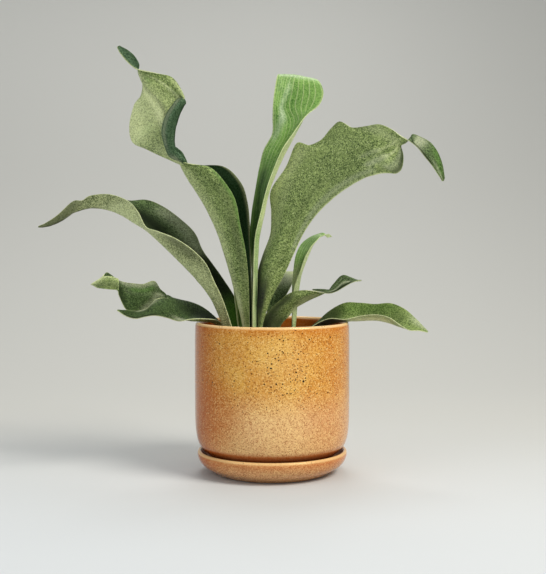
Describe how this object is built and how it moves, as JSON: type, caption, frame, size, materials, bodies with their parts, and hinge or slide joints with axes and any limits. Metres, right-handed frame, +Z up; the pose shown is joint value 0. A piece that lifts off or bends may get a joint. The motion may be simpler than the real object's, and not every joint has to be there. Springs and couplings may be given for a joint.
{
  "type": "potted staghorn fern",
  "caption": "Young staghorn fern with waved, folded and forked strap fronds rising from a low crown in a round glazed pot that stands on a saucer.",
  "frame": {"origin": "on the pot's axis, in the plane of the saucer's flat foot", "axes": "+Z up along the pot's axis, -Y towards the viewer of the picture, +X to the viewer's right"},
  "size_m": [0.3373, 0.1346, 0.3553],
  "materials": {
    "glaze_saucer": "gloss",
    "glaze_pot": "gloss",
    "bark_mix": "rough",
    "crown_scales": "rough",
    "shield": "matte",
    "felted_frond": "felted",
    "young_frond": "satin"
  },
  "bodies": {
    "root": {"saucer": "glaze_saucer", "pot": "glaze_pot", "potting_mix": "bark_mix", "crown": "crown_scales", "shield_frond_front": "shield", "shield_frond_back": "shield", "frond_tall_left": "felted_frond", "frond_long_left": "felted_frond", "frond_low_left": "felted_frond", "frond_centre": "young_frond", "frond_broad_right": "felted_frond", "frond_small_right": "young_frond", "frond_forked_right": "felted_frond", "frond_back": "felted_frond", "frond_low_right": "felted_frond", "frond_foot_left": "young_frond"}
  },
  "joints": []
}
